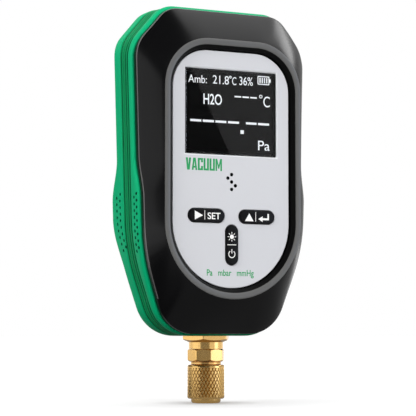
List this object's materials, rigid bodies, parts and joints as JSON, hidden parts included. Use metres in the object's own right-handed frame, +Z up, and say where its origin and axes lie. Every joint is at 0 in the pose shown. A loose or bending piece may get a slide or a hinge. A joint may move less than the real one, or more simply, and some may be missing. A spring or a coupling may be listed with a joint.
{
  "type": "digital vacuum gauge",
  "caption": "Handheld digital vacuum gauge with waisted grip body, flat display panel, press keys and a knurled swivel coupling at its foot.",
  "frame": {"origin": "centre of the coupling nut's lower rim, on the coupling's axis", "axes": "+Z up the coupling's axis into the housing, +X to the right of the display, -Y the way the display faces"},
  "size_m": [0.0786, 0.0428, 0.1617],
  "materials": {
    "black_shell": "satin moulded ABS",
    "green_grip": "satin two-shot plastic",
    "silver_panel": "silver printed satin film on plastic",
    "clear_window": "clear polished acrylic",
    "display_glass": "black liquid crystal glass",
    "white_plastic": "plain moulded",
    "black_key": "fine matt moulded",
    "board_green": "lacquered glass fibre board",
    "chip_black": "matt epoxy",
    "brass": "bright turned",
    "steel": "zinc plated or stainless",
    "seal_rubber": "black moulded rubber",
    "cell_jacket": "plain printed jacket; aluminium gives the cell about its real weight"
  },
  "bodies": {
    "case": {"front_cover": "black_shell", "front_grip_band": "green_grip", "rear_cover": "black_shell", "rear_grip_band": "green_grip", "face_panel": "silver_panel", "display_window": "clear_window", "lcd_panel": "display_glass", "lcd_frame": "white_plastic", "switch_right_set": "chip_black", "switch_up_enter": "chip_black", "switch_power": "chip_black", "main_board": "board_green", "ambient_sensor": "white_plastic", "processor_chip": "chip_black", "buzzer": "chip_black", "sensor_connector": "white_plastic", "sensor_lead": "seal_rubber", "board_screw_1": "steel", "board_screw_2": "steel", "board_screw_3": "steel", "board_screw_4": "steel", "case_screw_1": "steel", "case_screw_2": "steel", "case_screw_3": "steel", "case_screw_4": "steel", "sensor_port": "brass", "port_washer": "steel", "port_locknut": "brass", "sensor_oring": "seal_rubber", "vacuum_sensor": "steel", "coupler_body": "brass", "nut_retaining_ring": "steel", "flare_gasket": "seal_rubber", "core_depressor": "brass", "cell_1": "cell_jacket", "cell_2": "cell_jacket", "cell_3": "cell_jacket", "cell_spring_1": "steel", "cell_spring_2": "steel", "cell_spring_3": "steel", "contact_tab_low": "steel", "contact_link_low": "steel", "contact_link_top": "steel", "contact_tab_top": "steel", "battery_door": "black_shell", "door_screw": "steel"},
    "right_set": {"key_right_set": "black_key"},
    "up_enter": {"key_up_enter": "black_key"},
    "power": {"key_power": "black_key"},
    "nut": {"swivel_nut": "brass"}
  },
  "joints": [
    {"name": "right_set_press", "type": "slide", "parent": "case", "child": "right_set", "axis": [0, 1, 0], "range_m": [0, 0.0005], "stiffness_N_per_m": 600, "springref_m": -0.001},
    {"name": "up_enter_press", "type": "slide", "parent": "case", "child": "up_enter", "axis": [0, 1, 0], "range_m": [0, 0.0005], "stiffness_N_per_m": 600, "springref_m": -0.001},
    {"name": "power_press", "type": "slide", "parent": "case", "child": "power", "axis": [0, 1, 0], "range_m": [0, 0.0005], "stiffness_N_per_m": 600, "springref_m": -0.001},
    {"name": "nut_swivel", "type": "hinge", "parent": "case", "child": "nut", "pos_m": [0, 0, 0.0079], "axis": [0, 0, 1], "continuous": true}
  ]
}
